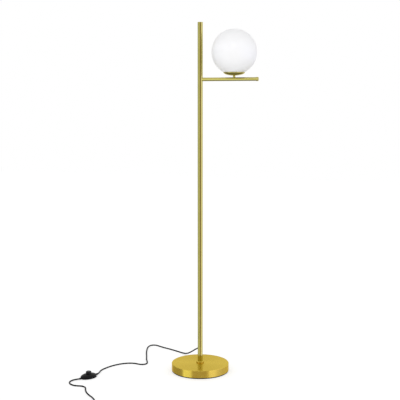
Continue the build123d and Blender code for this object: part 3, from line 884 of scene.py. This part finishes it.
def make_world():
    """White to the camera and in mirrors; a soft sky to whatever it lights."""
    world = bpy.data.worlds.new("studio")
    bpy.context.scene.world = world
    world.use_nodes = True
    tree = world.node_tree
    tree.nodes.clear()
    output = add(tree, "ShaderNodeOutputWorld")
    place = add(tree, "ShaderNodeTexCoord").outputs["Generated"]
    axes = add(tree, "ShaderNodeSeparateXYZ", None, Vector=place)
    # Softer from straight above than from the sides
    sky = add(tree, "ShaderNodeMapRange", None, Value=axes.outputs["Z"], To_Min=1.05, To_Max=0.70)
    soft = add(tree, "ShaderNodeBackground", None, Color=white, Strength=sky.outputs[0])
    plain_white = add(tree, "ShaderNodeBackground", None, Color=white, Strength=1.0)
    path = add(tree, "ShaderNodeLightPath")
    first = add(tree, "ShaderNodeMath", {"operation": "MAXIMUM"},
                _0=path.outputs["Is Camera Ray"], _1=path.outputs["Is Glossy Ray"])
    seen = add(tree, "ShaderNodeMath", {"operation": "MAXIMUM"},
               _0=first.outputs[0], _1=path.outputs["Is Transmission Ray"])
    mix = add(tree, "ShaderNodeMixShader", None,
              _0=seen.outputs[0], _1=soft.outputs[0], _2=plain_white.outputs[0])
    tree.links.new(mix.outputs[0], output.inputs["Surface"])


# What the studio shows a polished surface, at each angle round from the camera's
# side, in degrees: a warm dark room in the middle, a tall softbox on each side of
# it, and the backdrop behind the lamp. The base's rim looks down, on the low part.
backdrop = (1.0, 1.0, 1.0)
dark_room = (0.36, 0.29, 0.20)
lit_left = (1.35, 1.42, 1.50)
lit_right = (1.38, 1.37, 1.90)
side_left = (0.50, 0.56, 0.62)
side_right = (1.25, 1.25, 1.72)
low_room = (0.74, 0.56, 0.42)
low_left = (2.0, 2.2, 2.0)
low_right = (2.1, 1.95, 2.1)
high_front = (1.3, 1.3, 1.5)
wall_tones = [
    (-180, backdrop),
    (-150, backdrop),
    (-135, side_left),
    (-76, side_left),
    (-70, lit_left),
    (-36, lit_left),
    (-30, dark_room),
    (32, dark_room),
    (38, lit_right),
    (80, lit_right),
    (100, side_right),
    (150, backdrop),
    (180, backdrop),
]
low_wall_tones = [
    (-180, backdrop),
    (-150, low_room),
    (-77, low_room),
    (-69, low_left),
    (-45, low_left),
    (-31, low_room),
    (21, low_room),
    (33, low_right),
    (56, low_right),
    (78, low_room),
    (150, low_room),
    (180, backdrop),
]
high_wall_tones = [
    (-180, backdrop),
    (-120, backdrop),
    (-90, high_front),
    (90, high_front),
    (120, backdrop),
    (180, backdrop),
]
studio_circle = around(radius=7.0, segments=96)
studio_pit = -3.0
studio_low = -2.07
studio_high = 2.4
studio_top = 7.0


def mirrored_only(name, vertices, faces):
    """A glowing stage piece that only reflections see.

    Gives its tree, its glow and the place on it seen from the camera's azimuth.
    """
    mesh = bpy.data.meshes.new(name)
    mesh.from_pydata(vertices, [], faces)
    made, tree, surface = new_material(name)
    glow = add(tree, "ShaderNodeEmission", None, Strength=1.0)
    tree.links.new(glow.outputs[0], surface)
    place = add(tree, "ShaderNodeTexCoord").outputs["Object"]
    facing = add(tree, "ShaderNodeMapping", None, Vector=place, Rotation=(0, 0, -camera_azimuth))
    axes = add(tree, "ShaderNodeSeparateXYZ", None, Vector=facing.outputs[0])
    piece = at_origin(name, mesh, made)
    piece.visible_camera = False
    piece.visible_diffuse = False
    piece.visible_shadow = False
    piece.visible_transmission = False
    return tree, glow, axes


def make_studio_wall(name, low, high, tones):
    """A ring wall whose colour changes with the angle round from the camera's side."""
    rings = [[(x, y, z) for x, y in studio_circle] for z in (low, high)]
    tree, glow, axes = mirrored_only(name, *skin(rings, ends=False))
    front = add(tree, "ShaderNodeMath", {"operation": "MULTIPLY"}, _0=axes.outputs["Y"], _1=-1.0)
    angle = add(tree, "ShaderNodeMath", {"operation": "ARCTAN2"},
                _0=axes.outputs["X"], _1=front.outputs[0])
    share = add(tree, "ShaderNodeMapRange", None, Value=angle.outputs[0], From_Min=-pi, From_Max=pi)
    shade = add(tree, "ShaderNodeValToRGB", None, Fac=share.outputs[0])
    stops = shade.color_ramp.elements
    while len(stops) < len(tones):
        stops.new(0.5)
    for stop, (degrees_round, tone) in zip(stops, tones):
        stop.position = (degrees_round + 180) / 360
        stop.color = (*tone, 1.0)
    tree.links.new(shade.outputs["Color"], glow.inputs["Color"])


def make_studio_pit():
    """Floor of the mirrored room: pale in front of the lamp and dark behind it."""
    corners = [(x, y, studio_pit) for x, y in studio_circle]
    tree, glow, axes = mirrored_only("studio_pit", corners, [tuple(range(len(corners)))])
    dimming = add(tree, "ShaderNodeMapRange", None, Value=axes.outputs["Y"],
                  From_Min=-2.5, From_Max=1.4, To_Min=0.95, To_Max=0.20)
    tree.links.new(dimming.outputs[0], glow.inputs["Strength"])


def softbox(name, azimuth_deg, elevation_deg, distance, side, watts, aim):
    """A square soft light at an azimuth round from the camera's side."""
    azimuth = camera_azimuth + radians(azimuth_deg)
    elevation = radians(elevation_deg)
    target = Vector(aim)
    outward = Vector(
        (sin(azimuth) * cos(elevation), -cos(azimuth) * cos(elevation), sin(elevation))
    )
    light = bpy.data.lights.new(name, "AREA")
    light.shape = "SQUARE"
    light.size = side
    light.energy = watts
    box = bpy.data.objects.new(name, light)
    box.location = target + distance * outward
    box.rotation_euler = (-outward).to_track_quat("-Z", "Y").to_euler()
    box.visible_glossy = False
    bpy.context.scene.collection.objects.link(box)


make_floor()
make_world()
make_studio_wall("studio_wall", studio_low, studio_high, wall_tones)
make_studio_wall("studio_high_wall", studio_high, studio_top, high_wall_tones)
make_studio_wall("studio_low_wall", studio_pit, studio_low, low_wall_tones)
make_studio_pit()
softbox("key_light", azimuth_deg=-5.0, elevation_deg=6.0, distance=4.0, side=2.0, watts=38.0,
        aim=(0.15, 0.0, 1.38))

bpy.context.scene.view_settings.view_transform = "Standard"
